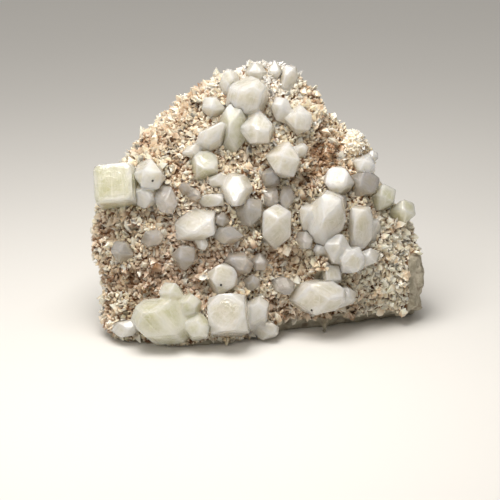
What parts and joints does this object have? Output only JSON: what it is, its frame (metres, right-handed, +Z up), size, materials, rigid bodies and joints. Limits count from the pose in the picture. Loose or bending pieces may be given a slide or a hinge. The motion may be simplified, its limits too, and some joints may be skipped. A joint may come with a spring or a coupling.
{
  "type": "apophyllite cluster",
  "caption": "Cluster of milky to clear pale green apophyllite crystals on a leaning slab of rock crusted with small stilbite crystals, free-standing on its flat base.",
  "frame": {"origin": "middle of the whole cluster's bounding box, on the plane that its flat base rests on", "axes": "+X to the right along the crystal-covered front, +Y from the front to the broken back, +Z up"},
  "size_m": [0.153, 0.0864, 0.1186],
  "materials": {
    "crusted_rock": "rough crust of small buff and pinkish crystals on grey-green rock",
    "peach_stilbite": "satin peach sheaf of stilbite blades",
    "milky_apophyllite": "milky, glassy to pearly faces",
    "greenish_apophyllite": "pale green, cloudy, glassy faces",
    "clear_apophyllite": "clear to slightly cloudy, glassy faces"
  },
  "bodies": {
    "root": {"matrix": "crusted_rock", "stilbite_knob": "peach_stilbite", "left_corner_crystal": "greenish_apophyllite", "left_shoulder_crystals": "milky_apophyllite", "left_inner_crystal": "clear_apophyllite", "left_sparkle_crystals": "clear_apophyllite", "left_oblong_crystal": "milky_apophyllite", "heart_crystal": "milky_apophyllite", "shard_crystal": "milky_apophyllite", "flat_crystal": "greenish_apophyllite", "faint_crystal": "milky_apophyllite", "green_crystal": "greenish_apophyllite", "summit_crystals": "milky_apophyllite", "summit_left_crystal": "milky_apophyllite", "rim_left_crystal": "milky_apophyllite", "rim_point_crystal": "milky_apophyllite", "rim_right_crystal": "milky_apophyllite", "upper_right_crystals": "milky_apophyllite", "upper_middle_crystal": "milky_apophyllite", "middle_clear_crystals": "clear_apophyllite", "leaf_crystal": "clear_apophyllite", "centre_dome_crystal": "clear_apophyllite", "centre_small_crystal": "clear_apophyllite", "centre_crystal": "milky_apophyllite", "bladed_crystal": "milky_apophyllite", "pointing_crystal": "clear_apophyllite", "clear_sparkle_crystal": "clear_apophyllite", "tall_right_crystals": "milky_apophyllite", "right_prism_crystals": "milky_apophyllite", "right_group_crystals": "milky_apophyllite", "square_crystal": "milky_apophyllite", "lying_crystal": "milky_apophyllite", "bladed_clear_crystal": "clear_apophyllite", "bright_sparkle_crystal": "clear_apophyllite", "speckled_crystal": "milky_apophyllite", "middle_left_crystal": "clear_apophyllite", "middle_small_crystal": "clear_apophyllite", "foot_crystals": "greenish_apophyllite", "foot_block_crystals": "milky_apophyllite", "corner_white_crystal": "milky_apophyllite", "low_left_crystal": "clear_apophyllite", "low_middle_crystal": "clear_apophyllite", "low_inner_crystal": "clear_apophyllite", "knob_white_crystals": "milky_apophyllite", "right_shoulder_crystal": "clear_apophyllite", "right_faint_crystal": "milky_apophyllite", "right_edge_crystal": "greenish_apophyllite", "right_corner_crystal": "greenish_apophyllite"}
  },
  "joints": []
}
